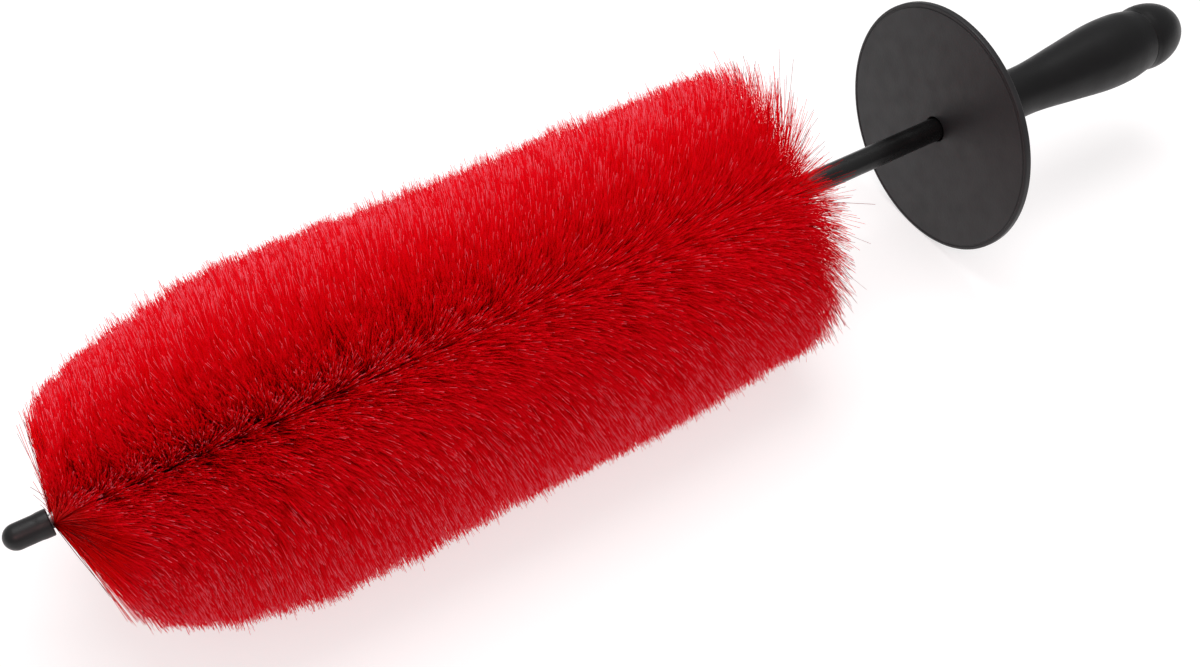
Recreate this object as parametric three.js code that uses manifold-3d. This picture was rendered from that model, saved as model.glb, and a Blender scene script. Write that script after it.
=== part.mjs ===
// Long-reach wheel brush: a twisted-in-wire brush head, a sleeved stem with a round
// splash guard, and a moulded handle. It lies on its side, as on a floor.
//
// Frame, in millimetres: +X runs along the brush from the rubber tip to the handle,
// +Z is up and z = 0 is the floor. The origin is under the middle of the overall length.
import * as THREE from 'three';
import { mergeVertices } from 'three/addons/utils/BufferGeometryUtils.js';
import Module from 'manifold-3d';

const wasm = await Module();
wasm.setup();

// Driving dimensions. Stations along the brush are counted from the guard's mid-plane,
// negative towards the tip and positive towards the handle's end.
const TIP_STATION = -327;
const END_STATION = 115.7;
const GAP = 0.35; // clearance between separate pieces that touch

const GUARD_RADIUS = 44.5;
const GUARD_THICKNESS = 2.4;
const GUARD_CHAMFER = 0.5;
const GUARD_BOSS_RADIUS = 8;
const GUARD_BOSS_LENGTH = 1.6;
const GUARD_LEAN_BACK = 1.7; // degrees; the soft guard sits a little out of square
const GUARD_LEAN_ASIDE = -1.8; // degrees

const WIRE_RADIUS = 1.2;
const WIRE_OFFSET = 1.4; // from the brush axis to each strand's own axis
const TWIST_PHASE = 50; // degrees about the axis, at the guard's mid-plane
const WIRE_STEPS_PER_TURN = 10;
const WIRE_SIDES = 6;

const CAP_LENGTH = 13;
const CAP_RADIUS = 3.8;
const CAP_LIP_RADIUS = 4;

const SLEEVE_RADIUS = 4.05;
const SLEEVE_START = -61.6;
const SLEEVE_END = 15;
const SLEEVE_CHAMFER = 0.4;

const BRISTLE_START = -313;
const BRISTLE_END = -62;
const BRISTLE_ROWS = 25; // the wires cross once in each row, so a row is half a turn
const BRISTLE_RADIUS = 48; // upper half, where the filaments stand free
const BRISTLE_SPLAY = 5; // how much further the filaments pressed on the floor reach
const TIP_END_TAPER = 75; // length over which the tip end swells to the full radius
const TIP_END_RADIUS = 26;
const HANDLE_END_TAPER = 14;
const HANDLE_END_RADIUS = 42;
const END_ROWS = 5; // rows at each end that get a finer outline

const NOSE_RADIUS = 9.8;
const NOSE_LENGTH = 9;
const CORE_RADIUS = 6.4;
const FERRULE_START = 81;
const FERRULE_LENGTH = 9;
const FERRULE_RADIUS = 4.5;
const GRIP_END = 95.8;
const WAIST_RADIUS = 11.6;
const KNOB_RADIUS = 12.15;
const KNOB_STATION = 100; // where the end cap is thickest
const SPIGOT_LENGTH = 3.5;

const AXIS_HEIGHT = GUARD_RADIUS; // the guard's rim stands on the floor
const GUARD_LEAN = new THREE.Euler(
  0,
  THREE.MathUtils.degToRad(GUARD_LEAN_BACK),
  THREE.MathUtils.degToRad(GUARD_LEAN_ASIDE),
);
const NOSE_START = GUARD_THICKNESS / 2 + GUARD_BOSS_LENGTH + 2 * GAP; // clear of the lean
const NOSE_END = NOSE_START + NOSE_LENGTH;
const WIRE_BORE = WIRE_OFFSET + WIRE_RADIUS + GAP;
const SLEEVE_BORE = SLEEVE_RADIUS + GAP;
const ROW_LENGTH = (BRISTLE_END - BRISTLE_START) / BRISTLE_ROWS;
const TWIST_PITCH = 2 * ROW_LENGTH;

const MATERIALS = {
  filament: { color: 0xc4081a, roughness: 0.45, metalness: 0 },
  wire: { color: 0xb9bcc0, roughness: 0.32, metalness: 1 },
  tip: { color: 0x1c1c1e, roughness: 0.5, metalness: 0 },
  sleeve: { color: 0x0e0e0f, roughness: 0.3, metalness: 0 },
  guard: { color: 0x2a292b, roughness: 0.48, metalness: 0 },
  handle: { color: 0x161617, roughness: 0.42, metalness: 0 },
  grip: { color: 0x1b1b1c, roughness: 0.5, metalness: 0 },
};

const brush = new THREE.Group();
brush.name = 'wheel_brush';

// All pieces are placed inside this group, whose own origin is the guard's centre.
const assembly = new THREE.Group();
assembly.position.set(-(TIP_STATION + END_STATION) / 2, 0, AXIS_HEIGHT);
brush.add(assembly);

function addPiece(name, geometry, finish) {
  const mesh = new THREE.Mesh(geometry, new THREE.MeshStandardMaterial(MATERIALS[finish]));
  mesh.name = name;
  assembly.add(mesh);
  return mesh;
}

// Turns a closed outline of [station, radius] pairs round the brush axis. A lathe turns
// about Y, so the result is laid along X. The outline starts and ends on the axis, or
// is closed by repeating its first pair.
function turned(outline, segments) {
  const profile = outline.map(([station, radius]) => new THREE.Vector2(radius, station));
  const area = profile.reduce((sum, p, i) => {
    const q = profile[(i + 1) % profile.length];
    return sum + (p.x * q.y - q.x * p.y);
  }, 0);
  if (area < 0) profile.reverse();
  const geometry = new THREE.LatheGeometry(profile, segments);
  geometry.rotateZ(-Math.PI / 2);
  return geometry;
}

function closed(outline) {
  return [...outline, outline[0]];
}

// A quarter-ellipse from [startX, startR] to [endX, endR], convex outwards.
function quarterEllipse(startX, startR, endX, endR, steps) {
  return Array.from({ length: steps }, (_, i) => {
    const angle = ((i + 1) / steps) * (Math.PI / 2);
    return [startX + (endX - startX) * Math.sin(angle), endR + (startR - endR) * Math.cos(angle)];
  });
}

function toManifold(geometry) {
  const bare = geometry.clone();
  bare.deleteAttribute('normal');
  bare.deleteAttribute('uv');
  const merged = mergeVertices(bare, 1e-4);
  return new wasm.Manifold(new wasm.Mesh({
    numProp: 3,
    vertProperties: new Float32Array(merged.attributes.position.array),
    triVerts: new Uint32Array(merged.index.array),
  }));
}

function toGeometry(solid) {
  const mesh = solid.getMesh();
  const geometry = new THREE.BufferGeometry();
  geometry.setAttribute('position', new THREE.BufferAttribute(mesh.vertProperties, 3));
  geometry.setIndex(new THREE.BufferAttribute(mesh.triVerts, 1));
  geometry.computeVertexNormals();
  return geometry;
}

// The core is two wires twisted round each other. Each strand is one left-handed helix
// that runs from inside the rubber tip to the ferrule in the handle.
class StrandCurve extends THREE.Curve {
  constructor(start, end, phase) {
    super();
    this.start = start;
    this.end = end;
    this.phase = phase;
  }

  getPoint(t, target = new THREE.Vector3()) {
    const station = this.start + (this.end - this.start) * t;
    const angle = this.phase - (station / TWIST_PITCH) * 2 * Math.PI;
    return target.set(station, WIRE_OFFSET * Math.cos(angle), WIRE_OFFSET * Math.sin(angle));
  }
}

function wireStrand(phase) {
  const start = TIP_STATION + 3.4;
  const end = FERRULE_START + FERRULE_LENGTH + 0.6;
  const section = new THREE.Shape();
  for (let side = 0; side < WIRE_SIDES; side += 1) {
    const angle = (side / WIRE_SIDES) * 2 * Math.PI;
    const place = [WIRE_RADIUS * Math.cos(angle), WIRE_RADIUS * Math.sin(angle)];
    if (side === 0) section.moveTo(...place);
    else section.lineTo(...place);
  }
  section.closePath();
  const steps = Math.round(((end - start) / TWIST_PITCH) * WIRE_STEPS_PER_TURN);
  return new THREE.ExtrudeGeometry(section, {
    steps,
    curveSegments: 1,
    extrudePath: new StrandCurve(start, end, phase),
  });
}

function tipCap() {
  const mouth = TIP_STATION + CAP_LENGTH;
  const roundEnd = TIP_STATION + CAP_RADIUS;
  const outline = [
    [TIP_STATION + 3, 0],
    [TIP_STATION + 3, WIRE_BORE],
    [mouth, WIRE_BORE],
    [mouth, CAP_LIP_RADIUS - 0.3],
    [mouth - 0.3, CAP_LIP_RADIUS],
    [mouth - 2.5, CAP_LIP_RADIUS - 0.05],
    [mouth - 4, CAP_RADIUS],
    [roundEnd, CAP_RADIUS],
    ...quarterEllipse(roundEnd, CAP_RADIUS, TIP_STATION, 0, 6),
  ];
  return turned(outline, 28);
}

function stemSleeve() {
  return turned(closed([
    [SLEEVE_START, WIRE_BORE],
    [SLEEVE_START, SLEEVE_RADIUS - SLEEVE_CHAMFER],
    [SLEEVE_START + SLEEVE_CHAMFER, SLEEVE_RADIUS],
    [SLEEVE_END, SLEEVE_RADIUS],
    [SLEEVE_END, WIRE_BORE],
  ]), 28);
}

function splashGuard() {
  const half = GUARD_THICKNESS / 2;
  const rim = GUARD_RADIUS - GUARD_CHAMFER;
  return turned(closed([
    [-half, SLEEVE_BORE + GUARD_CHAMFER],
    [-half, rim],
    [-half + GUARD_CHAMFER, GUARD_RADIUS],
    [half - GUARD_CHAMFER, GUARD_RADIUS],
    [half, rim],
    [half, GUARD_BOSS_RADIUS],
    [half + GUARD_BOSS_LENGTH, GUARD_BOSS_RADIUS - 0.3],
    [half + GUARD_BOSS_LENGTH, SLEEVE_BORE],
    [-half + GUARD_CHAMFER, SLEEVE_BORE],
  ]), 72);
}

// Radius of the brush head's free upper half at a station: a swelling tip end, a
// cylindrical middle and a shorter taper at the handle end.
function headRadius(station) {
  const fromTip = Math.min((station - BRISTLE_START) / TIP_END_TAPER, 1);
  const fromEnd = Math.min((BRISTLE_END - station) / HANDLE_END_TAPER, 1);
  const tip = TIP_END_RADIUS + (BRISTLE_RADIUS - TIP_END_RADIUS) * (1 - (1 - fromTip) ** 2.5);
  const end = HANDLE_END_RADIUS + (BRISTLE_RADIUS - HANDLE_END_RADIUS) * (1 - (1 - fromEnd) ** 2);
  return Math.min(tip, end);
}

// How far the filaments reach beyond the free radius, from 0 at the top of the head to
// the whole splay at its lower flanks, where they are pressed on the floor.
function splayed(geometry) {
  const position = geometry.attributes.position;
  for (let i = 0; i < position.count; i += 1) {
    const y = position.getY(i);
    const z = position.getZ(i);
    const radius = Math.hypot(y, z);
    if (radius > 2 * WIRE_BORE) {
      const below = Math.min(Math.max(0.5 - z / radius, 0), 1);
      const factor = 1 + (BRISTLE_SPLAY * below) / BRISTLE_RADIUS;
      position.setXYZ(i, position.getX(i), y * factor, z * factor);
    }
  }
  return geometry;
}

function floorBlock() {
  const size = 4 * BRISTLE_RADIUS;
  const length = BRISTLE_END - BRISTLE_START;
  const block = new THREE.BoxGeometry(length + 20, size, size);
  return block.translate((BRISTLE_START + BRISTLE_END) / 2, 0, -AXIS_HEIGHT - size / 2);
}

// The tuft of filaments gripped between two crossings of the twisted wires, as one plain
// solid of their outer shape, bored for the wires and pressed flat by the floor.
function bristleRow(index, floor) {
  const start = BRISTLE_START + index * ROW_LENGTH + (index > 0 ? GAP : 0);
  const end = BRISTLE_START + (index + 1) * ROW_LENGTH;
  const nearEnd = Math.min(index, BRISTLE_ROWS - 1 - index) < END_ROWS;
  const spans = nearEnd ? 2 : 1;
  const outer = Array.from({ length: spans + 1 }, (_, i) => {
    const station = start + ((end - start) * i) / spans;
    return [station, headRadius(station)];
  });
  const ring = splayed(turned(closed([[start, WIRE_BORE], ...outer, [end, WIRE_BORE]]), 32));
  return toGeometry(toManifold(ring).subtract(floor));
}

function wireFerrule() {
  const end = FERRULE_START + FERRULE_LENGTH;
  return turned(closed([
    [FERRULE_START, WIRE_BORE],
    [FERRULE_START, FERRULE_RADIUS - 0.4],
    [FERRULE_START + 0.4, FERRULE_RADIUS],
    [end - 0.4, FERRULE_RADIUS],
    [end, FERRULE_RADIUS - 0.4],
    [end, WIRE_BORE],
  ]), 24);
}

// The rigid inner handle: a nose behind the guard, a bored shank, and a counterbore at
// the rear for the wires' ferrule and the end cap's spigot.
function handleCore() {
  return turned(closed([
    [NOSE_START, SLEEVE_BORE],
    [NOSE_START, NOSE_RADIUS - 1.4],
    [NOSE_START + 0.5, NOSE_RADIUS - 0.5],
    [NOSE_START + 1.6, NOSE_RADIUS],
    [NOSE_END, NOSE_RADIUS - 0.35],
    [NOSE_END, CORE_RADIUS],
    [GRIP_END, CORE_RADIUS],
    [GRIP_END, FERRULE_RADIUS + GAP],
    [FERRULE_START - GAP, FERRULE_RADIUS + GAP],
    [FERRULE_START - GAP, WIRE_BORE],
    [SLEEVE_END + GAP, WIRE_BORE],
    [SLEEVE_END + GAP, SLEEVE_BORE],
  ]), 32);
}

// The soft grip's outer line swells from a slim neck to a palm-filling belly, then
// draws in to the waist where it meets the end cap.
function gripSleeve() {
  const start = NOSE_END + GAP;
  const line = new THREE.SplineCurve([
    new THREE.Vector2(start, NOSE_RADIUS - 0.4),
    new THREE.Vector2(26, 9.3),
    new THREE.Vector2(42, 9.1),
    new THREE.Vector2(60, 11),
    new THREE.Vector2(76, 12.8),
    new THREE.Vector2(87, 12.9),
    new THREE.Vector2(GRIP_END - 2, WAIST_RADIUS + 0.4),
    new THREE.Vector2(GRIP_END, WAIST_RADIUS),
  ]);
  const outer = line.getPoints(18).map((point) => [point.x, point.y]);
  const inner = CORE_RADIUS + GAP;
  return turned(closed([[start, inner], ...outer, [GRIP_END, inner]]), 40);
}

function handleEndCap() {
  const start = GRIP_END + GAP;
  return turned([
    [start - SPIGOT_LENGTH, 0],
    [start - SPIGOT_LENGTH, FERRULE_RADIUS],
    [start, FERRULE_RADIUS],
    [start, WAIST_RADIUS - 0.1],
    [start + 1.4, WAIST_RADIUS + 0.2],
    [start + 2.7, KNOB_RADIUS - 0.08],
    [KNOB_STATION, KNOB_RADIUS],
    ...quarterEllipse(KNOB_STATION, KNOB_RADIUS, END_STATION, 0, 9),
  ], 40);
}

addPiece('tip_cap', tipCap(), 'tip');
const phase = THREE.MathUtils.degToRad(TWIST_PHASE);
addPiece('core_wire_1', wireStrand(phase), 'wire');
addPiece('core_wire_2', wireStrand(phase + Math.PI), 'wire');

const floor = toManifold(floorBlock());
for (let index = 0; index < BRISTLE_ROWS; index += 1) {
  const number = String(index + 1).padStart(2, '0');
  addPiece(`bristle_row_${number}`, bristleRow(index, floor), 'filament');
}

addPiece('stem_sleeve', stemSleeve(), 'sleeve');
addPiece('splash_guard', splashGuard(), 'guard').setRotationFromEuler(GUARD_LEAN);
addPiece('wire_ferrule', wireFerrule(), 'wire');
addPiece('handle_core', handleCore(), 'handle');
addPiece('grip_sleeve', gripSleeve(), 'grip');
addPiece('handle_end_cap', handleEndCap(), 'handle');

export default brush;
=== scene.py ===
"""Looks of the long-reach wheel brush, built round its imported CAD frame.

Units are metres. +X runs along the brush from the rubber tip to the handle, +Z is up and
the floor is z = 0. The brush's axis is parallel to X, at the height of the tip cap.
"""
import math

import bmesh
import bpy
import numpy as np
from mathutils import Euler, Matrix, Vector


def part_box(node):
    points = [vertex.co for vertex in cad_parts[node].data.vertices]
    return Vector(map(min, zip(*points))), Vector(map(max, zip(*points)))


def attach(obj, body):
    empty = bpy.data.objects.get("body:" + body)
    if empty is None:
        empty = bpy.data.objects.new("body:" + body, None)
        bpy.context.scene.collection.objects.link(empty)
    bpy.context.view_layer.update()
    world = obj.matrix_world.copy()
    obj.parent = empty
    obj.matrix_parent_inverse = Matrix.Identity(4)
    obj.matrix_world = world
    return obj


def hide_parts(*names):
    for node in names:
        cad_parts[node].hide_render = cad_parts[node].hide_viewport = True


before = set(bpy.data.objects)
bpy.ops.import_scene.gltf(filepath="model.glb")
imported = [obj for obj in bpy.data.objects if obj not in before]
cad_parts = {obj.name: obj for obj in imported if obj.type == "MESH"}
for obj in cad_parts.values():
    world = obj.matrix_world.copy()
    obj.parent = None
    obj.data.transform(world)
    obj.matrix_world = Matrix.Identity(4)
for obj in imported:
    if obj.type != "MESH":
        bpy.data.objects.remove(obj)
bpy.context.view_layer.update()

MM = 0.001
SEED = 20731

# Places taken from the frame
ROW_NODES = sorted(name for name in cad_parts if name.startswith("bristle_row"))
CAP_LOW, CAP_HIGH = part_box("tip_cap")
AXIS_Z = (CAP_LOW[2] + CAP_HIGH[2]) / 2
HEAD_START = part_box(ROW_NODES[0])[0][0]
HEAD_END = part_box(ROW_NODES[-1])[1][0]
HEAD_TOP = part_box(ROW_NODES[len(ROW_NODES) // 2])[1][2] - AXIS_Z
ROW_LENGTH = (HEAD_END - HEAD_START) / len(ROW_NODES)
PITCH = 2 * ROW_LENGTH  # one full turn of the twisted wires
STEM_LOW, STEM_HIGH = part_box("stem_sleeve")
NOSE_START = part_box("handle_core")[0][0]
CORE_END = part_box("handle_core")[1][0]
GRIP_START, GRIP_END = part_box("grip_sleeve")[0][0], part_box("grip_sleeve")[1][0]
END_CAP_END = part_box("handle_end_cap")[1][0]
FERRULE_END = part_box("wire_ferrule")[1][0]
GUARD_X = END_CAP_END - 115.7 * MM  # the guard's middle plane, where stations are counted from

# The same driving sizes as the CAD model
WIRE_RADIUS = 1.2 * MM
WIRE_OFFSET = 1.4 * MM
TWIST_PHASE = math.radians(50)
GUARD_LEAN = Euler((0, math.radians(1.7), math.radians(-1.8)))


# ---------------------------------------------------------------- camera, floor and light

CAMERA_PLACE = (GUARD_X - 0.3083, -0.2714, AXIS_Z + 0.3222)
CAMERA_HEADING = math.radians(57.99)  # from +X towards +Y
CAMERA_TILT = math.radians(47.40)  # below the horizon
CAMERA_LENS, SENSOR_WIDTH = 43.32, 36  # both in mm


def make_camera():
    """The camera looks down across the brush, from the tip's side."""
    forward = Vector((
        math.cos(CAMERA_HEADING) * math.cos(CAMERA_TILT),
        math.sin(CAMERA_HEADING) * math.cos(CAMERA_TILT),
        -math.sin(CAMERA_TILT),
    ))
    data = bpy.data.cameras.new("camera")
    data.sensor_width = SENSOR_WIDTH
    data.lens = CAMERA_LENS
    data.clip_start = 10 * MM
    camera = bpy.data.objects.new("camera", data)
    camera.location = CAMERA_PLACE
    camera.rotation_euler = forward.to_track_quat("-Z", "Y").to_euler()
    bpy.context.collection.objects.link(camera)
    bpy.context.scene.camera = camera


FLOOR_GREY = (0.47, 0.47, 0.47, 1)
FLOOR_GLOW = 0.62  # the floor is lit from below a little, like a light table


def make_floor():
    mesh = bpy.data.meshes.new("floor")
    half = 3.0  # of the square's side
    corners = [(-half, -half, 0), (half, -half, 0), (half, half, 0), (-half, half, 0)]
    mesh.from_pydata(corners, [], [(0, 1, 2, 3)])
    floor = bpy.data.objects.new("floor", mesh)
    bpy.context.collection.objects.link(floor)
    material = bpy.data.materials.new("floor_white")
    material.use_nodes = True
    shader = material.node_tree.nodes["Principled BSDF"]
    shader.inputs["Base Color"].default_value = FLOOR_GREY
    shader.inputs["Roughness"].default_value = 0.8
    shader.inputs["Specular IOR Level"].default_value = 0.2
    shader.inputs["Emission Color"].default_value = (1, 1, 1, 1)
    shader.inputs["Emission Strength"].default_value = FLOOR_GLOW
    mesh.materials.append(material)


def round_light(name, location, target, size, energy, color=(1, 1, 1)):
    """A disc light, its diameter in metres and its energy in watts, aimed at a target."""
    data = bpy.data.lights.new(name, "AREA")
    data.shape = "DISK"
    data.size = size
    data.energy = energy
    data.color = color
    light = bpy.data.objects.new(name, data)
    light.location = location
    aim = Vector(target) - Vector(location)
    light.rotation_euler = aim.to_track_quat("-Z", "Y").to_euler()
    bpy.context.collection.objects.link(light)


def make_lights():
    """A dim dome that is brighter overhead, a wide key above the brush and a rosy front fill."""
    world = bpy.data.worlds.new("studio")
    world.use_nodes = True
    tree = world.node_tree
    background = tree.nodes["Background"]
    background.inputs["Strength"].default_value = 1.0
    place = tree.nodes.new("ShaderNodeTexCoord")
    split = tree.nodes.new("ShaderNodeSeparateXYZ")
    ramp = tree.nodes.new("ShaderNodeValToRGB")
    horizon, overhead = ramp.color_ramp.elements
    horizon.color = (0.34, 0.34, 0.35, 1)
    overhead.color = (0.65, 0.65, 0.65, 1)
    tree.links.new(place.outputs["Generated"], split.inputs["Vector"])
    tree.links.new(split.outputs["Z"], ramp.inputs["Fac"])
    tree.links.new(ramp.outputs["Color"], background.inputs["Color"])
    bpy.context.scene.world = world
    round_light("key", (0.1, 0.3, 1.25), target=(0, 0, 0.03), size=1.0, energy=9)
    round_light("front", (-0.55, -1.15, 1.35), target=(-0.05, 0, 0.04), size=0.7, energy=5.4,
                color=(1, 0.5, 0.5))
    bpy.context.scene.view_settings.view_transform = "Standard"


# ---------------------------------------------------------------- materials

NOISE_LOW, NOISE_HIGH = 0.3, 0.7  # a noise texture seldom leaves this range


class Look:
    """A node material under construction: a Principled shader and helpers that feed it."""

    def __init__(self, name, roughness=0.5, metallic=0.0, **fixed):
        self.material = bpy.data.materials.new(name)
        self.material.use_nodes = True
        self.tree = self.material.node_tree
        self.shader = self.tree.nodes["Principled BSDF"]
        self.shader.inputs["Roughness"].default_value = roughness
        self.shader.inputs["Metallic"].default_value = metallic
        for socket, value in fixed.items():
            self.shader.inputs[socket.replace("_", " ")].default_value = value
        self.place = self.tree.nodes.new("ShaderNodeTexCoord").outputs["Object"]

    def node(self, kind, **values):
        """A new node, with values for its inputs by name, and for its settings."""
        node = self.tree.nodes.new(kind)
        for name, value in values.items():
            if name in node.inputs:
                node.inputs[name].default_value = value
            else:
                setattr(node, name, value)
        return node

    def link(self, output, target):
        self.tree.links.new(output, target)

    def noise(self, scale, detail=3.0, stretch=(1, 1, 1)):
        mapping = self.node("ShaderNodeMapping", Scale=stretch)
        noise = self.node("ShaderNodeTexNoise", Scale=scale, Detail=detail)
        self.link(self.place, mapping.inputs["Vector"])
        self.link(mapping.outputs["Vector"], noise.inputs["Vector"])
        return noise.outputs["Fac"]

    def ramp(self, factor, stops):
        ramp = self.node("ShaderNodeValToRGB")
        elements = ramp.color_ramp.elements
        while len(elements) < len(stops):
            elements.new(0.5)
        for element, (place, color) in zip(elements, stops):
            element.position = place
            element.color = (*color, 1)
        self.link(factor, ramp.inputs["Fac"])
        return ramp.outputs["Color"]

    def spread(self, factor, low, high, start=NOISE_LOW, end=NOISE_HIGH):
        """A value from low to high, as the factor goes from start to end."""
        node = self.node("ShaderNodeMapRange")
        node.inputs["From Min"].default_value = start
        node.inputs["From Max"].default_value = end
        node.inputs["To Min"].default_value = low
        node.inputs["To Max"].default_value = high
        self.link(factor, node.inputs["Value"])
        return node.outputs["Result"]

    def bump(self, height, distance):
        bump = self.node("ShaderNodeBump", Strength=1.0, Distance=distance)
        self.link(height, bump.inputs["Height"])
        self.link(bump.outputs["Normal"], self.shader.inputs["Normal"])

    def color(self, output):
        self.link(output, self.shader.inputs["Base Color"])

    def rough(self, output):
        self.link(output, self.shader.inputs["Roughness"])


def moulded(name, dark, light, roughness, grain, depth, **fixed):
    """Moulded plastic or rubber: a faint mottle, a fine grain and uneven gloss."""
    look = Look(name, roughness=roughness, **fixed)
    look.color(look.ramp(look.noise(90), [(NOISE_LOW, dark), (NOISE_HIGH, light)]))
    look.rough(look.spread(look.noise(160, detail=4), roughness - 0.05, roughness + 0.06))
    look.bump(look.noise(grain, detail=2), depth)
    return look.material


ROOT_RED = (0.88, 0.0001, 0.0006)
# The loose filaments at both ends get a much darker tone: painted shade, as they show dark against
# the bright floor
LOOSE_SHADE_TONE = 0  # much darker: the loose filaments at both ends
PLAIN_TONES = (0.02, 0.80)
# Tones from PALE_TONES give strands pale coral tips, which are painted glints and sheen
PALE_TONES = (0.86, 1)
PALE_STARTS, PALE_FULL = 0.80, 0.90  # tones between which a strand's tip turns pale
MIX_A, MIX_B, MIX_RESULT = 6, 7, 2  # a Mix node's colour sockets


def filament_look():
    """Red nylon: deep crimson at the root and a little lighter and pinker at the tip, a faint
    painted sheen. Each strand has a tone of its own; the highest tones have pale tips, which are
    painted glints and sheen, and the loose strands' tone darkens them as painted shade."""
    look = Look("red_filament", roughness=0.4, Specular_IOR_Level=0.03)
    along = look.node("ShaderNodeAttribute", attribute_name="along").outputs["Fac"]
    tone = look.node("ShaderNodeAttribute", attribute_name="tone").outputs["Fac"]
    # A little lighter and pinker towards the tip: a faint painted sheen
    plain = look.ramp(along, [
        (0.0, ROOT_RED),
        (0.8, (0.91, 0.0002, 0.0020)),
        (1.0, (0.92, 0.0020, 0.0130)),
    ])
    # Pale coral tips for the highest tones: painted glints and sheen
    glint_tips = look.ramp(along, [
        (0.0, ROOT_RED),
        (0.86, (0.92, 0.003, 0.016)),
        (1.0, (0.94, 0.17, 0.22)),
    ])
    base = look.node("ShaderNodeMix", data_type="RGBA")
    look.link(look.spread(tone, 0, 1, PALE_STARTS, PALE_FULL), base.inputs["Factor"])
    look.link(plain, base.inputs[MIX_A])
    look.link(glint_tips, base.inputs[MIX_B])
    # Tone 0 dims the loose filaments as painted shade; the other tones scatter a little at random
    dim = look.ramp(tone, [
        (LOOSE_SHADE_TONE, (0.3,) * 3),
        (PLAIN_TONES[0], (0.9,) * 3),
        (1.0, (1.04,) * 3),
    ])
    dimmed = look.node("ShaderNodeVectorMath", operation="MULTIPLY")
    look.link(base.outputs[MIX_RESULT], dimmed.inputs[0])
    look.link(dim, dimmed.inputs[1])
    look.color(dimmed.outputs["Vector"])
    return look.material


def wire_look():
    """Steel, a little dull, with fine drawing lines along the wire."""
    look = Look("twisted_wire", roughness=0.4, metallic=0.6)
    look.color(look.ramp(look.noise(300), [
        (NOISE_LOW, (0.46, 0.44, 0.44)),
        (NOISE_HIGH, (0.62, 0.60, 0.60)),
    ]))
    look.rough(look.spread(look.noise(900, detail=2), 0.32, 0.5))
    look.bump(look.noise(1500, detail=1, stretch=(0.1, 1, 1)), 0.02 * MM)
    return look.material


# ---------------------------------------------------------------- meshes

def make_object(name, vertices, faces, material):
    mesh = bpy.data.meshes.new(name)
    mesh.from_pydata([tuple(v) for v in vertices], [], [tuple(int(i) for i in f) for f in faces])
    mesh.materials.append(material)
    mesh.validate()
    mesh.update()
    piece = bpy.data.objects.new(name, mesh)
    bpy.context.collection.objects.link(piece)
    return piece


def smooth(piece, angle):
    piece.data.shade_smooth()
    piece.data.set_sharp_from_angle(angle=math.radians(angle))


def place(piece, slot, *nodes):
    """The piece rides on the brush's only body and stands for these CAD nodes."""
    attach(piece, "root")
    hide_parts(*nodes)


ON_AXIS = 1e-7  # a smaller radius than this is on the axis


def lathe(name, outline, material, segments, turn=None, center=None):
    """A closed body of revolution about the brush's axis. outline is a closed list of
    (x, radius) pairs; pairs on the axis become one shared point."""
    center = center or Vector((0, 0, AXIS_Z))
    vertices, rings = [], []
    for x, radius in outline:
        if radius < ON_AXIS:
            rings.append([len(vertices)] * segments)
            vertices.append(Vector((x, 0, 0)))
            continue
        rings.append([len(vertices) + i for i in range(segments)])
        for i in range(segments):
            angle = 2 * math.pi * i / segments
            vertices.append(Vector((x, radius * math.cos(angle), radius * math.sin(angle))))
    if turn:
        vertices = [turn @ v for v in vertices]
    vertices = [v + center for v in vertices]
    solid = outline[0][1] < ON_AXIS and outline[-1][1] < ON_AXIS
    faces = []
    for a in range(len(rings) - 1 if solid else len(rings)):
        near, far = rings[a], rings[(a + 1) % len(rings)]
        for i in range(segments):
            j = (i + 1) % segments
            face = [near[i], near[j], far[j], far[i]]
            faces.append(list(dict.fromkeys(face)))
    piece = make_object(name, vertices, faces, material)
    outward(piece)
    return piece


def outward(piece):
    """Turns the faces of a closed piece outwards."""
    shape = bmesh.new()
    shape.from_mesh(piece.data)
    bmesh.ops.recalc_face_normals(shape, faces=shape.faces)
    if shape.calc_volume(signed=True) < 0:
        bmesh.ops.reverse_faces(shape, faces=shape.faces)
    shape.to_mesh(piece.data)
    shape.free()


def arc(center_x, center_r, radius, start, end, steps):
    """Points of a round edge, from one angle to another in degrees; 0 points along +X."""
    angles = np.radians(np.linspace(start, end, steps + 1))
    return [(center_x + radius * math.cos(a), center_r + radius * math.sin(a)) for a in angles]


def smooth_line(points, steps):
    """A Catmull-Rom line through the points, with that many steps in each span."""
    p = np.array([points[0], *points, points[-1]], float)
    line = []
    for i in range(1, len(p) - 2):
        for t in np.arange(steps) / steps:
            a = 2 * p[i]
            b = p[i + 1] - p[i - 1]
            c = 2 * p[i - 1] - 5 * p[i] + 4 * p[i + 1] - p[i + 2]
            d = -p[i - 1] + 3 * p[i] - 3 * p[i + 1] + p[i + 2]
            line.append(tuple(0.5 * (a + b * t + c * t * t + d * t ** 3)))
    line.append(tuple(p[-1]))
    return line


# ---------------------------------------------------------------- filaments

PARTING = math.radians(130)  # direction of the parting about the axis, from +Y to +Z
ROOT_RADIUS = 1.2 * MM  # where the strands start, between the wires
FLOOR_CLEARANCE = 0.25 * MM

STRANDS_PER_ROW = 7000
STRAND_RADIUS = 0.088 * MM
TAPER = 0.25  # the share of its thickness that a strand loses along its length
SIDES = 3  # of a strand's cross-section
STRAND_STOPS = np.array([0, 0.4, 1.0])  # where a strand's rings stand along it
NO_STRAND = np.array([0.9, 0.1, 0.42])  # a direction that hardly any strand has

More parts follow.
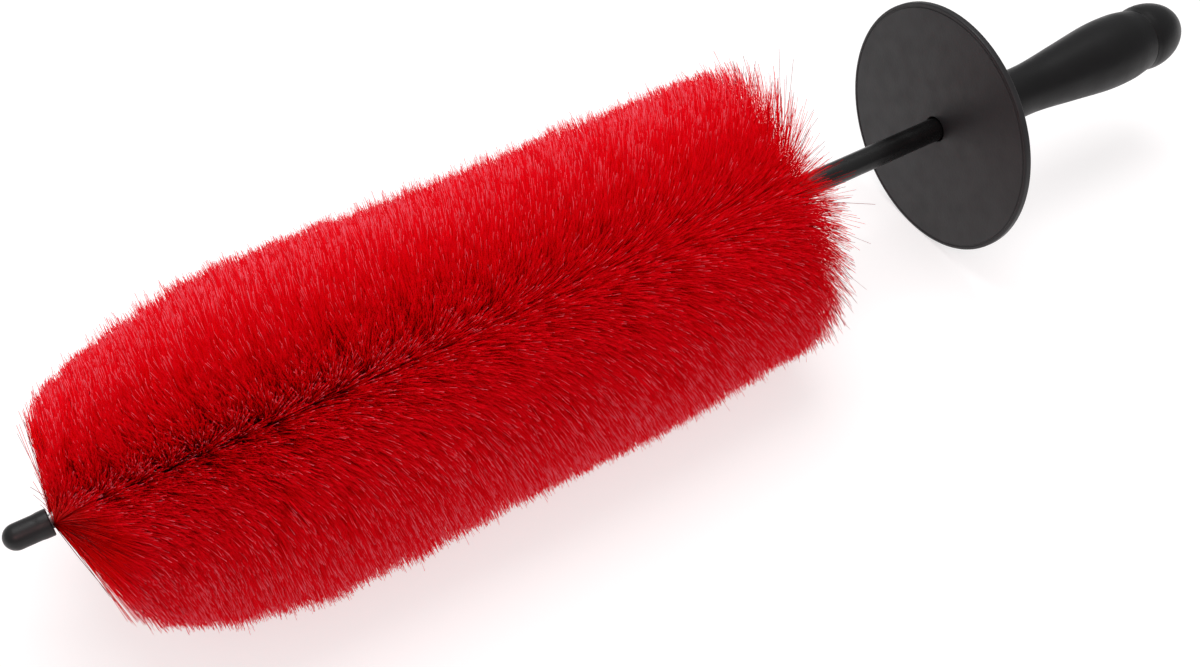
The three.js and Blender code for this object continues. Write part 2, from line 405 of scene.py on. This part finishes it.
# How the filaments lie. Angles are in degrees, and lean is towards the handle
AIM_SCATTER = 32  # about the direction in which the wires aim them
CLUMP_SWAY = 0.7  # what neighbours do together
OPENING_ABOVE, OPENING_BELOW = 5, 3.5  # how far the parting pushes them aside
PARTED_LENGTH, PARTING_FADES = 80 * MM, 80 * MM
LEAN_SCATTER = 3.2
TWIST_PULL = 12
TIP_LENGTH, TIP_LEAN, TIP_LEAN_TOP = 35 * MM, 16, 3
END_LENGTH, END_LEAN, END_LEAN_TOP = 30 * MM, 14, 5

HEAD_START_RADIUS = 26.5 * MM
SHOULDER_LENGTH = 75 * MM  # from the tip end to where the head has its full width
FULLER_BELOW = 5 / 48  # how much further the lower half reaches, as a share
CUT_SHORT, CUT_SCATTER, CUT_WAVES = 1.1 * MM, 0.8 * MM, 0.9 * MM  # the uneven trim


def wrapped(angle):
    return (angle + math.pi) % (2 * math.pi) - math.pi


def eased(value):
    """A smooth step from 0 to 1."""
    value = np.clip(value, 0, 1)
    return value * value * (3 - 2 * value)


class Waves:
    """A smooth random field over station and angle, made of seeded plane waves."""

    def __init__(self, rng, count, shortest, longest):
        wavelength = rng.uniform(shortest, longest, count)
        self.along = 2 * math.pi / wavelength * rng.choice([-1, 1], count)
        self.around = rng.integers(-9, 10, count)
        self.phase = rng.uniform(0, 2 * math.pi, count)
        self.scale = 1 / math.sqrt(count / 2)

    def __call__(self, x, angle):
        total = np.zeros_like(x)
        for along, around, phase in zip(self.along, self.around, self.phase):
            total += np.sin(along * x + around * angle + phase)
        return total * self.scale


def head_radius(x):
    """How far the filaments of the free upper half reach, by the station of their tips."""
    from_tip = np.clip((x - HEAD_START) / SHOULDER_LENGTH, 0, 1)
    growth = HEAD_TOP - HEAD_START_RADIUS
    return HEAD_START_RADIUS + growth * (1 - (1 - from_tip) ** 2.5)


def thinning(x):
    """The share of filaments left at a station: the wires let go of them at the end."""
    return np.clip((HEAD_END - x) / (26 * MM), 0.03, 1) ** 1.2


def pushed_apart(root, root_angle, clump_angle, rng):
    """The filaments' directions, counted from the parting; how parted the head is at each
    root; and how straight the wires aim each filament at the parting. The parting pushes
    filaments aside, least where they are aimed at it, and less towards the handle."""
    count = len(root)
    aimed = np.cos(root_angle - PARTING) ** 2
    away = wrapped(root_angle + rng.normal(0, math.radians(AIM_SCATTER), count) - PARTING)
    away += math.radians(CLUMP_SWAY) * clump_angle(root, away)
    side = np.where(away < 0, -1, 1)
    parted = 1 - eased((root - HEAD_START - PARTED_LENGTH) / PARTING_FADES)
    widest = np.where(side < 0, math.radians(OPENING_ABOVE), math.radians(OPENING_BELOW))
    opening = widest * parted
    opening *= (0.1 + 1.6 * (1 - aimed) ** 2) * rng.uniform(0, 1.5, count)
    away = side * np.minimum(np.hypot(opening, away), math.pi)
    return away, parted, aimed


def leaning(root, away, parted, at_tip, at_end, clump_x, rng):
    """The filaments' lean along the brush, and which of them are loose. There is a little
    scatter, and the twist pulls them beside the parting. They lean towards the handle at
    the tip end, and away from it at the handle end."""
    count = len(root)
    pull = np.tanh(away / 0.3) * (1 - eased((np.abs(away) - 0.35) / 0.55))
    lean = rng.normal(0, math.radians(LEAN_SCATTER), count)
    lean += math.radians(CLUMP_SWAY) * clump_x(root, away)
    lean *= 1 - 0.5 * at_tip
    lean += math.radians(TWIST_PULL) * pull * (0.5 + 0.5 * parted) * (1 - at_end)
    lean += np.radians(TIP_LEAN + TIP_LEAN_TOP * np.sin(away)) * at_tip
    lean -= np.radians(END_LEAN + END_LEAN_TOP * np.sin(away)) * at_end
    loose = rng.random(count) < 0.03 * at_tip ** 2 + 0.09 * at_end
    outwards = np.sign(at_end - at_tip)
    lean += np.where(loose, np.radians(rng.uniform(3, 11, count)) * outwards, 0)
    return lean, loose


def reaching(root, away, lean, at_end, trim, rng):
    """How far from the axis the filaments' tips are, with a few strays that stand out."""
    count = len(root)
    below = np.clip(0.5 - np.sin(PARTING + away), 0, 1)
    slimmer = 0.6 * eased((root - GUARD_X + 140 * MM) / (50 * MM))
    fuller = FULLER_BELOW * (1 - slimmer)
    tip_station = root + 0.8 * HEAD_TOP * np.tan(lean)
    reach = head_radius(tip_station) * (1 + fuller * below)
    reach += rng.normal(-CUT_SHORT, CUT_SCATTER, count) + CUT_WAVES * trim(root, away)
    stray = rng.random(count) < 0.006 + 0.05 * at_end
    reach += np.where(stray, rng.uniform(0.5, 4, count) * MM, 0)
    return reach


def toned(away, parted, aimed, loose, rng):
    """The filaments' tones. Pale tips are painted glints and sheen: scarce near the parting and
    more common away from it, with a row of painted glints just above the parting, where the wires
    aim filaments at it."""
    count = len(away)
    # Painted glints: pale tips, more of them away from the parting and in a row just above it
    glint_share = 0.04 + 0.24 * eased((np.abs(away) - 0.35) / 0.8)
    glint_share += 0.5 * parted * aimed ** 4 * np.exp(-((away + 0.08) / 0.1) ** 2)
    pale = rng.random(count) < glint_share
    tone = np.where(pale, rng.uniform(*PALE_TONES, count), rng.uniform(*PLAIN_TONES, count))
    # Loose filaments get the darkest tone: painted shade
    return np.where(loose, LOOSE_SHADE_TONE, tone)


def strand_lines(start, end, most, rng, fields):
    """Centre lines of the filaments that one half turn of the wires grips, as an array of
    strand, step and place, and their tones. Each starts between the wires and fans out."""
    clump_x, clump_angle, trim = fields
    root = rng.uniform(start, end, most)
    root = root[rng.random(most) < thinning(root)]
    count = len(root)
    at_tip = np.clip(1 - (root - HEAD_START) / TIP_LENGTH, 0, 1)
    at_end = np.clip(1 - (HEAD_END - root) / END_LENGTH, 0, 1)
    wire_angle = TWIST_PHASE - 2 * math.pi * (root - GUARD_X) / PITCH
    root_angle = wire_angle + math.pi / 2 + math.pi * rng.integers(0, 2, count)
    away, parted, aimed = pushed_apart(root, root_angle, clump_angle, rng)
    turned_by = wrapped(PARTING + away - root_angle)
    lean, loose = leaning(root, away, parted, at_tip, at_end, clump_x, rng)
    reach = reaching(root, away, lean, at_end, trim, rng)

    # A few of the last filaments lie down along the stem
    lying = rng.random(count) < 0.28 * at_end ** 6
    lean = np.where(lying, np.radians(rng.uniform(5, 20, count)), lean)
    bend = np.where(lying, rng.uniform(1.0, 2.2, count), rng.normal(0, 0.04, count))
    reach *= np.where(lying, rng.uniform(0.14, 0.24, count), 1)

    t = STRAND_STOPS[None, :]
    along = (reach - ROOT_RADIUS)[:, None] * t
    radius = ROOT_RADIUS + along
    angle = root_angle[:, None] + turned_by[:, None] * eased(t / 0.45)
    x = root[:, None] + along * (np.tan(lean)[:, None] + bend[:, None] * t)
    y = radius * np.cos(angle)
    z = AXIS_Z + radius * np.sin(angle)

    # The floor pushes low filaments up and outwards
    bed = FLOOR_CLEARANCE + rng.uniform(0, 2.2, count)[:, None] * MM * t
    sunk = np.maximum(bed - z, 0)
    y = y + np.where(np.cos(angle) < 0, -1, 1) * sunk * 0.8
    x = x + sunk * rng.uniform(-0.6, 0.6, count)[:, None]
    tone = toned(away, parted, aimed, loose, rng)
    return np.stack([x, y, z + sunk], axis=2), tone


def strand_mesh(name, lines, tone, rng, material):
    """One mesh of closed, tapered three-sided strands along the lines."""
    count, rings = lines.shape[:2]
    tangent = np.gradient(lines, axis=1)
    tangent /= np.linalg.norm(tangent, axis=2, keepdims=True)
    aside = np.cross(tangent, NO_STRAND)
    aside /= np.linalg.norm(aside, axis=2, keepdims=True)
    upright = np.cross(tangent, aside)
    spin = rng.uniform(0, 2 * math.pi, count)[:, None, None]
    corner = spin + np.arange(SIDES)[None, None, :] * (2 * math.pi / SIDES)
    t = STRAND_STOPS[None, :, None]
    size = STRAND_RADIUS * rng.uniform(0.8, 1.2, count)[:, None, None] * (1 - TAPER * t ** 3)
    vertices = (
        lines[:, :, None, :]
        + (size * np.cos(corner))[..., None] * aside[:, :, None, :]
        + (size * np.sin(corner))[..., None] * upright[:, :, None, :]
    )

    near = np.arange(rings - 1)[:, None] * SIDES
    far = near + SIDES
    side = np.arange(SIDES)[None, :]
    after = (side + 1) % SIDES
    quads = np.stack([near + side, far + side, far + after, near + after], axis=2)
    quads = quads.reshape(-1, 4)
    last = SIDES * (rings - 1)
    caps = np.array([[0, 1, 2], [last, last + 2, last + 1]])
    offset = (np.arange(count) * rings * SIDES)[:, None, None]
    loops = np.concatenate([
        (quads[None] + offset).reshape(-1),
        (caps[None] + offset).reshape(-1),
    ])
    sizes = np.concatenate([
        np.full(count * len(quads), 4),
        np.full(count * len(caps), SIDES),
    ])
    loop_starts = np.concatenate([[0], np.cumsum(sizes)[:-1]])

    mesh = bpy.data.meshes.new(name)
    mesh.vertices.add(count * rings * SIDES)
    mesh.vertices.foreach_set("co", vertices.reshape(-1).astype(np.float32))
    mesh.loops.add(len(loops))
    mesh.loops.foreach_set("vertex_index", loops.astype(np.int32))
    mesh.polygons.add(len(sizes))
    mesh.polygons.foreach_set("loop_start", loop_starts.astype(np.int32))
    mesh.update(calc_edges=True)
    along = np.broadcast_to(t, (count, rings, SIDES))
    tone = np.broadcast_to(tone[:, None, None], (count, rings, SIDES))
    for title, values in (("along", along), ("tone", tone)):
        attribute = mesh.attributes.new(title, "FLOAT", "POINT")
        attribute.data.foreach_set("value", values.reshape(-1).astype(np.float32))
    mesh.shade_smooth()
    mesh.materials.append(material)
    piece = bpy.data.objects.new(name, mesh)
    bpy.context.collection.objects.link(piece)
    return piece


def make_filaments(material):
    """One piece of loose strands for each half turn of the wires."""
    rng = np.random.default_rng(SEED)
    fields = (
        Waves(rng, 14, 5 * MM, 24 * MM),
        Waves(rng, 14, 6 * MM, 30 * MM),
        Waves(rng, 14, 4 * MM, 18 * MM),
    )
    count = STRANDS_PER_ROW
    for i, node in enumerate(ROW_NODES):
        start, end = HEAD_START + i * ROW_LENGTH, HEAD_START + (i + 1) * ROW_LENGTH
        if i == 0:
            start = CAP_HIGH[0] + 0.3 * MM  # the first filaments touch the cap
        lines, tone = strand_lines(start, end, count, rng, fields)
        piece = strand_mesh(f"filaments_{i + 1:02d}", lines, tone, rng, material)
        place(piece, "filaments", node)


# ---------------------------------------------------------------- wires, stem, guard, handle

def make_wire(index, material):
    """One strand of the core: a helix, cut square at both ends."""
    sides, per_turn = 16, 28
    low, high = CAP_LOW[0] + 3.4 * MM, FERRULE_END + 0.6 * MM
    steps = int((high - low) / PITCH * per_turn)
    x = np.linspace(low, high, steps + 1)
    angle = TWIST_PHASE + math.pi * index - 2 * math.pi * (x - GUARD_X) / PITCH
    line = np.stack([x, WIRE_OFFSET * np.cos(angle), AXIS_Z + WIRE_OFFSET * np.sin(angle)], axis=1)
    tangent = np.gradient(line, axis=0)
    tangent /= np.linalg.norm(tangent, axis=1, keepdims=True)
    outwards = np.stack([np.zeros_like(x), np.cos(angle), np.sin(angle)], axis=1)
    across = np.cross(tangent, outwards)
    around = 2 * math.pi * np.arange(sides) / sides
    vertices, faces = [], []
    for i in range(steps + 1):
        for a in around:
            spoke = math.cos(a) * outwards[i] + math.sin(a) * across[i]
            vertices.append(line[i] + WIRE_RADIUS * spoke)
    for i in range(steps):
        for j in range(sides):
            k = (j + 1) % sides
            faces.append((i * sides + j, i * sides + k, (i + 1) * sides + k, (i + 1) * sides + j))
    faces.append(list(range(sides)))
    faces.append([steps * sides + j for j in reversed(range(sides))])
    piece = make_object(f"wire_strand_{index + 1}", vertices, faces, material)
    outward(piece)
    smooth(piece, 50)
    place(piece, "twisted_wire", f"core_wire_{index + 1}")


def make_tip_cap(material):
    """A thick-walled cap with a round end and a raised lip at its mouth."""
    tip, mouth = CAP_LOW[0], CAP_HIGH[0]
    bore = 2.95 * MM
    radius, lip = 3.8 * MM, 4.0 * MM
    dome = [
        (tip + radius * (1 - math.sin(a)), radius * math.cos(a))
        for a in np.radians(np.linspace(0, 90, 15))
    ]
    outline = [
        (tip + 3 * MM, 0), (tip + 3 * MM, bore - 0.3 * MM), (tip + 3.3 * MM, bore),
        (mouth - 0.3 * MM, bore), (mouth, bore + 0.25 * MM),
        *arc(mouth - 0.35 * MM, lip - 0.35 * MM, 0.35 * MM, 0, 90, 5),
        (mouth - 2.4 * MM, lip - 0.03 * MM), (mouth - 3.0 * MM, lip - 0.1 * MM),
        (mouth - 3.6 * MM, radius + 0.02 * MM), (mouth - 4.4 * MM, radius),
        *dome[:-1], (tip, 0),
    ]
    piece = lathe("tip_cap_rubber", outline, material, 96)
    smooth(piece, 50)
    place(piece, "tip_rubber", "tip_cap")


def make_stem(material):
    """The plain tube over the bare wires, with rounded edges."""
    low, high = STEM_LOW[0], STEM_HIGH[0]
    radius, bore, edge = 4.05 * MM, 2.95 * MM, 0.35 * MM
    outline = [
        (low + 0.1 * MM, bore), (low, bore + 0.1 * MM),
        *arc(low + edge, radius - edge, edge, 180, 90, 4),
        *[(low + (high - low) * s, radius) for s in (0.25, 0.5, 0.75)],
        *arc(high - edge, radius - edge, edge, 90, 0, 4),
        (high, bore + 0.1 * MM), (high - 0.1 * MM, bore),
    ]
    piece = lathe("stem_tube", outline, material, 64)
    smooth(piece, 50)
    place(piece, "stem_plastic", "stem_sleeve")


def make_guard(material):
    """A thin disc with rounded rims and a low boss behind, leaning as the CAD one does."""
    half, rim, bore, edge = 1.2 * MM, 44.5 * MM, 4.4 * MM, 0.5 * MM
    boss, boss_end = 8 * MM, 2.8 * MM
    outline = [
        *arc(-half + edge, bore + edge, edge, 270, 180, 4),
        *[(-half, r * MM) for r in (8, 14, 20, 26, 32, 38, 42)],
        (-half, rim - 1.7 * MM),
        (-half + 0.25 * MM, rim - 1.5 * MM), (-half + 0.25 * MM, rim - 1.15 * MM),
        (-half, rim - 0.95 * MM),
        *arc(-half + edge, rim - edge, edge, 180, 90, 5),
        *arc(half - edge, rim - edge, edge, 90, 0, 5),
        *[(half, r * MM) for r in (38, 26, 16)],
        (half, boss + 0.6 * MM), (half + 0.2 * MM, boss + 0.15 * MM),
        *arc(boss_end - 0.3 * MM, boss - 0.3 * MM, 0.3 * MM, 90, 0, 3),
        (boss_end, bore),
    ]
    piece = lathe(
        "guard_disc", outline, material, 192,
        turn=GUARD_LEAN.to_matrix(), center=Vector((GUARD_X, 0, AXIS_Z)),
    )
    smooth(piece, 32)
    place(piece, "guard_plastic", "splash_guard")


def make_handle_core(material):
    """The nose behind the guard, and the shank hidden in the grip."""
    nose, core, bore = 9.8 * MM, 6.4 * MM, 4.4 * MM
    start, nose_end = NOSE_START, NOSE_START + 9 * MM
    pocket = 4.85 * MM
    wire_bore = 2.95 * MM
    pocket_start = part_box("wire_ferrule")[0][0] - 0.35 * MM
    step = STEM_HIGH[0] + 0.35 * MM
    outline = [
        (start, bore), (start, nose - 1.5 * MM),
        *arc(start + 1.5 * MM, nose - 1.5 * MM, 1.5 * MM, 180, 90, 6),
        (start + 5 * MM, nose - 0.05 * MM),
        *arc(nose_end - 0.4 * MM, nose - 0.75 * MM, 0.4 * MM, 90, 0, 3),
        (nose_end, core), (CORE_END, core), (CORE_END, pocket),
        (pocket_start, pocket), (pocket_start, wire_bore), (step, wire_bore), (step, bore),
    ]
    piece = lathe("handle_shank", outline, material, 96)
    smooth(piece, 40)
    place(piece, "handle_plastic", "handle_core")


def make_grip(material):
    """The grip swells from a slim neck to the belly and draws in to the waist."""
    stations = [(26, 9.3), (42, 9.1), (60, 11.0), (76, 12.8), (87, 12.9), (93.8, 12.0)]
    line = smooth_line(
        [(GRIP_START + 0.5 * MM, 9.4 * MM)]
        + [(GUARD_X + s * MM, r * MM) for s, r in stations]
        + [(GRIP_END - 0.1 * MM, 11.62 * MM)],
        8,
    )
    bore = 6.75 * MM
    outline = [
        (GRIP_START, bore), (GRIP_START, 9.0 * MM), (GRIP_START + 0.12 * MM, 9.28 * MM),
        *line,
        (GRIP_END, 11.55 * MM), (GRIP_END, bore),
    ]
    piece = lathe("grip_skin", outline, material, 128)
    smooth(piece, 40)
    place(piece, "grip_rubber", "grip_sleeve")


def make_end_cap(material):
    """The knob behind the waist. Its face touches the grip, so the seam is a fine line."""
    start = GRIP_END + 0.06 * MM
    knob_x, knob = GUARD_X + 100 * MM, 12.15 * MM
    reach = END_CAP_END - knob_x
    dome = [
        (knob_x + reach * math.sin(a), knob * math.cos(a))
        for a in np.radians(np.linspace(0, 90, 25))
    ]
    spigot = 4.5 * MM
    outline = [
        (start - 3.1 * MM, 0), (start - 3.1 * MM, spigot - 0.3 * MM),
        (start - 2.8 * MM, spigot), (start, spigot),
        (start, 11.55 * MM),
        *smooth_line([
            (start + 0.1 * MM, 11.62 * MM), (start + 1.4 * MM, 11.8 * MM),
            (start + 2.7 * MM, 12.05 * MM), (knob_x, knob),
        ], 5)[:-1],
        *dome[:-1], (END_CAP_END, 0),
    ]
    piece = lathe("end_knob", outline, material, 128)
    smooth(piece, 40)
    place(piece, "handle_plastic", "handle_end_cap")


def paint_ferrule(material):
    """The ferrule keeps its CAD shape and gets the wires' metal."""
    for material_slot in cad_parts["wire_ferrule"].material_slots:
        material_slot.link = "OBJECT"
        material_slot.material = material


make_camera()
make_floor()
make_lights()

wire = wire_look()
black_handle = moulded(
    "handle_black", dark=(0.0030, 0.0030, 0.0032), light=(0.0050, 0.0050, 0.0053),
    roughness=0.4, grain=1400, depth=0.03 * MM, Specular_IOR_Level=0.22)
make_filaments(filament_look())
make_wire(0, wire)
make_wire(1, wire)
make_tip_cap(moulded(
    "tip_black", dark=(0.0055, 0.0055, 0.0060), light=(0.0100, 0.0100, 0.0110),
    roughness=0.42, grain=900, depth=0.04 * MM, Specular_IOR_Level=0.35))
make_stem(moulded(
    "stem_black", dark=(0.0030, 0.0030, 0.0030), light=(0.0048, 0.0048, 0.0050),
    roughness=0.26, grain=500, depth=0.01 * MM, Specular_IOR_Level=0.4))
make_guard(moulded(
    "guard_grey", dark=(0.0105, 0.0105, 0.0115), light=(0.0140, 0.0138, 0.0150),
    roughness=0.46, grain=1100, depth=0.03 * MM, Specular_IOR_Level=0.36))
make_handle_core(black_handle)
make_grip(moulded(
    "grip_black", dark=(0.0028, 0.0028, 0.0030), light=(0.0048, 0.0048, 0.0051),
    roughness=0.42, grain=1200, depth=0.03 * MM, Specular_IOR_Level=0.22))
make_end_cap(black_handle)
paint_ferrule(wire)
